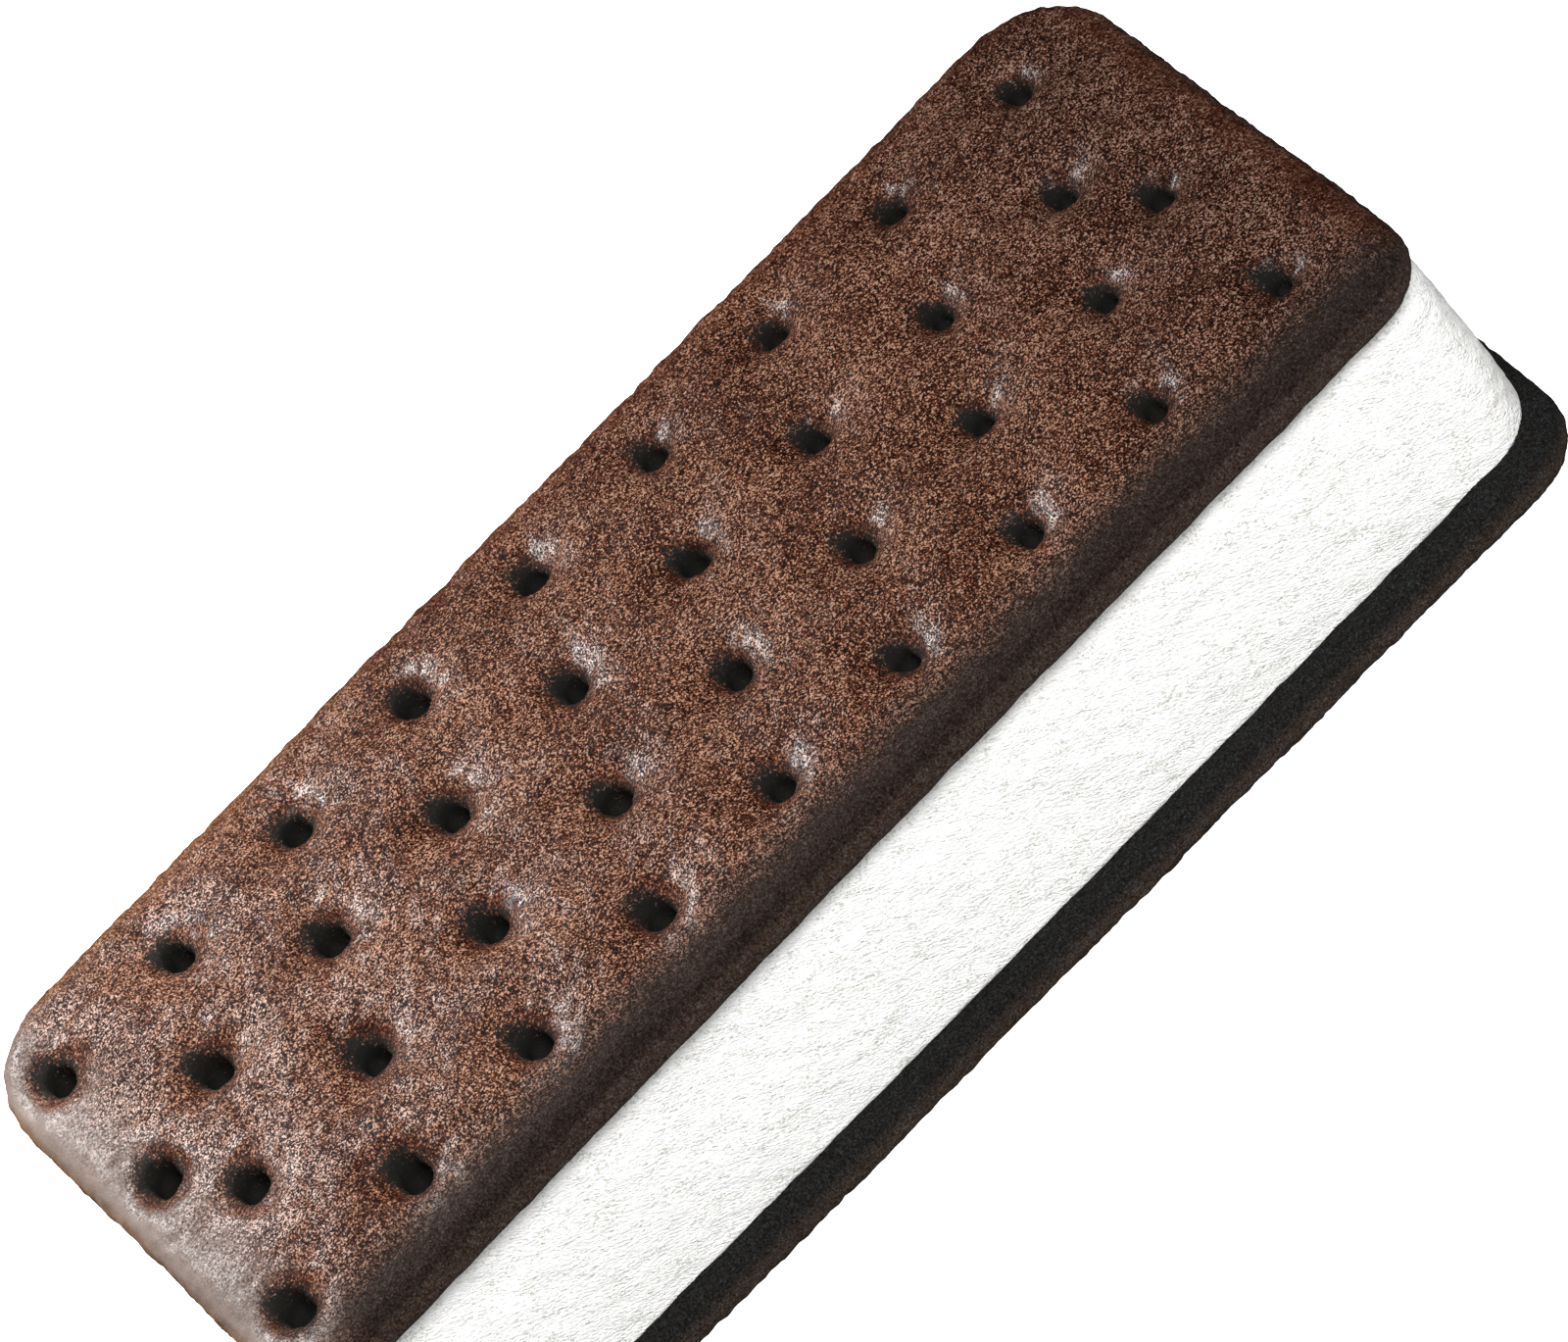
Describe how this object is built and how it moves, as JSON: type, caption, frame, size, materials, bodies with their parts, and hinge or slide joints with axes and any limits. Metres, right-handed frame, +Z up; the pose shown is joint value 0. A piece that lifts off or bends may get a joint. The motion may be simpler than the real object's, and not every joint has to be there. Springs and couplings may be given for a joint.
{
  "type": "ice cream sandwich",
  "caption": "Long block of white ice cream held between dark chocolate wafers with rounded corners, rounded edges and staggered rows of small docking holes.",
  "frame": {"origin": "middle of the footprint, on the surface that the sandwich rests on", "axes": "+X along the sandwich, towards the end that the lower wafer is pushed to; +Y across it; +Z up"},
  "size_m": [0.1216, 0.0548, 0.029],
  "materials": {
    "upper_wafer": "matt, finely grained dark chocolate wafer with a faint sheen",
    "ice_cream": "white frozen cream with a soft, finely wrinkled surface",
    "lower_wafer": "matt, finely grained dark chocolate wafer, darker where it is damp"
  },
  "bodies": {
    "root": {"wafer_top": "upper_wafer", "ice_cream": "ice_cream", "wafer_bottom": "lower_wafer"}
  },
  "joints": []
}
